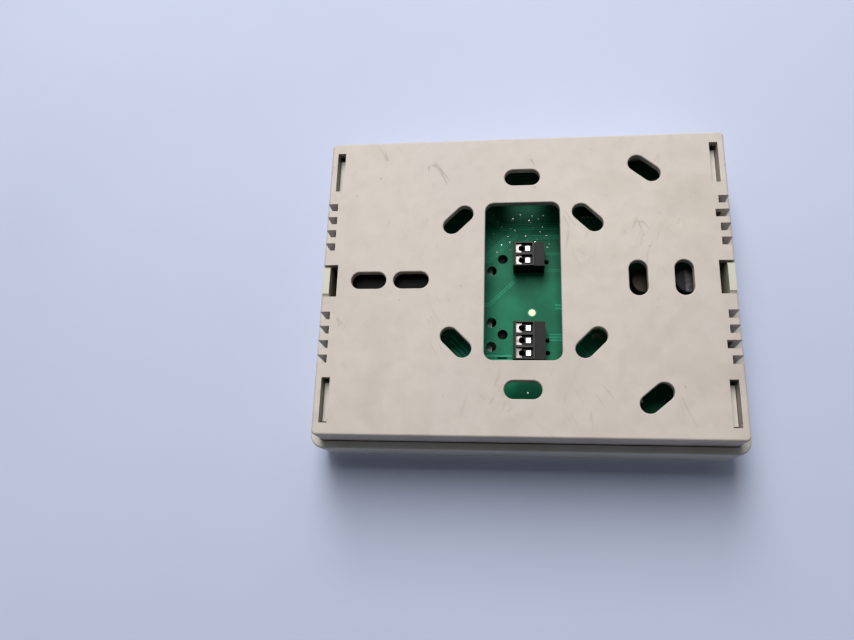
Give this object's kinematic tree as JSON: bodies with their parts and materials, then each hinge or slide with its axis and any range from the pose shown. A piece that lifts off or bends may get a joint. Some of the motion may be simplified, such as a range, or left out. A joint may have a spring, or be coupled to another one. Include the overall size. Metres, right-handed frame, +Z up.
{
  "type": "wall thermostat",
  "caption": "Room thermostat with a slotted back plate, a clip-on front unit, a display, push buttons and spring terminals on a circuit board.",
  "frame": {"origin": "centre of the back plate's flat back face", "axes": "+Z up the wall, +Y out of the back into the wall, -Y towards the room, +X to the right as seen from the room"},
  "size_m": [0.0888, 0.0254, 0.1142],
  "materials": {
    "plate_plastic": "beige moulded plastic with a fine texture",
    "cover_plastic": "off-white moulded plastic with a fine texture",
    "clear_window": "clear polycarbonate",
    "lcd_glass": "grey-green display glass",
    "white_plastic": "white moulded plastic",
    "grey_rubber": "silicone rubber",
    "green_board": "green solder mask on glass epoxy",
    "black_plastic": "black moulded plastic",
    "tinned_metal": "tinned metal",
    "bright_metal": "bright plated spring steel",
    "zinc_steel": "zinc plated steel",
    "capacitor_can": "aluminium can",
    "brown_ferrite": "brown ferrite and lacquered wire",
    "chip_plastic": "black moulding compound",
    "crystal_can": "nickel plated can",
    "sensor_resin": "black epoxy",
    "relay_plastic": "dark grey relay case",
    "button_plastic": "grey moulded plastic"
  },
  "bodies": {
    "front_unit": {"front_cover": "cover_plastic", "display_window": "clear_window", "lcd_panel": "lcd_glass", "lcd_frame": "white_plastic", "lcd_contact_strips": "grey_rubber", "lcd_backlight": "white_plastic", "circuit_board": "green_board", "key_mat": "grey_rubber", "terminal_block_2_pole": "black_plastic", "terminal_block_3_pole": "black_plastic", "terminal_contacts_2_pole": "tinned_metal", "terminal_contacts_3_pole": "tinned_metal", "board_screws": "zinc_steel", "capacitor": "capacitor_can", "choke": "brown_ferrite", "processor": "chip_plastic", "processor_leads": "tinned_metal", "memory_chip": "chip_plastic", "crystal": "crystal_can", "rectifier": "chip_plastic", "temperature_sensor": "sensor_resin", "temperature_sensor_leads": "tinned_metal", "relay_1": "relay_plastic", "relay_2": "relay_plastic"},
    "rear_plate": {"rear_plate": "plate_plastic"},
    "latch_tongue_top": {"latch_tongue_top": "cover_plastic"},
    "latch_tongue_bottom": {"latch_tongue_bottom": "cover_plastic"},
    "button_mode": {"button_mode": "button_plastic"},
    "button_fan": {"button_fan": "button_plastic"},
    "button_down": {"button_down": "button_plastic"},
    "button_up": {"button_up": "button_plastic"},
    "wire_clamp_1": {"wire_clamp_1": "bright_metal"},
    "wire_clamp_2": {"wire_clamp_2": "bright_metal"},
    "wire_clamp_3": {"wire_clamp_3": "bright_metal"},
    "wire_clamp_4": {"wire_clamp_4": "bright_metal"},
    "wire_clamp_5": {"wire_clamp_5": "bright_metal"}
  },
  "joints": [
    {"name": "rear_plate_lift", "type": "slide", "parent": "front_unit", "child": "rear_plate", "axis": [0, 1, 0], "range_m": [0, 0.02]},
    {"name": "latch_top_bend", "type": "hinge", "parent": "front_unit", "child": "latch_tongue_top", "pos_m": [0, -0.02235, 0.0535], "axis": [-1, 0, 0], "range_deg": [0, 5], "stiffness_Nm_per_rad": 1.5, "springref_deg": -1.15},
    {"name": "latch_bottom_bend", "type": "hinge", "parent": "front_unit", "child": "latch_tongue_bottom", "pos_m": [0, -0.02235, -0.0535], "axis": [1, 0, 0], "range_deg": [0, 5], "stiffness_Nm_per_rad": 1.5, "springref_deg": -1.15},
    {"name": "button_mode_press", "type": "slide", "parent": "front_unit", "child": "button_mode", "axis": [0, 1, 0], "range_m": [0, 0.0008], "stiffness_N_per_m": 1500, "springref_m": -0.0004},
    {"name": "button_fan_press", "type": "slide", "parent": "front_unit", "child": "button_fan", "axis": [0, 1, 0], "range_m": [0, 0.0008], "stiffness_N_per_m": 1500, "springref_m": -0.0004},
    {"name": "button_down_press", "type": "slide", "parent": "front_unit", "child": "button_down", "axis": [0, 1, 0], "range_m": [0, 0.0008], "stiffness_N_per_m": 1500, "springref_m": -0.0004},
    {"name": "button_up_press", "type": "slide", "parent": "front_unit", "child": "button_up", "axis": [0, 1, 0], "range_m": [0, 0.0008], "stiffness_N_per_m": 1500, "springref_m": -0.0004},
    {"name": "wire_clamp_1_press", "type": "slide", "parent": "front_unit", "child": "wire_clamp_1", "axis": [0, -1, 0], "range_m": [0, 0.0009], "stiffness_N_per_m": 5000, "springref_m": -0.0004},
    {"name": "wire_clamp_2_press", "type": "slide", "parent": "front_unit", "child": "wire_clamp_2", "axis": [0, -1, 0], "range_m": [0, 0.0009], "stiffness_N_per_m": 5000, "springref_m": -0.0004},
    {"name": "wire_clamp_3_press", "type": "slide", "parent": "front_unit", "child": "wire_clamp_3", "axis": [0, -1, 0], "range_m": [0, 0.0009], "stiffness_N_per_m": 5000, "springref_m": -0.0004},
    {"name": "wire_clamp_4_press", "type": "slide", "parent": "front_unit", "child": "wire_clamp_4", "axis": [0, -1, 0], "range_m": [0, 0.0009], "stiffness_N_per_m": 5000, "springref_m": -0.0004},
    {"name": "wire_clamp_5_press", "type": "slide", "parent": "front_unit", "child": "wire_clamp_5", "axis": [0, -1, 0], "range_m": [0, 0.0009], "stiffness_N_per_m": 5000, "springref_m": -0.0004}
  ]
}
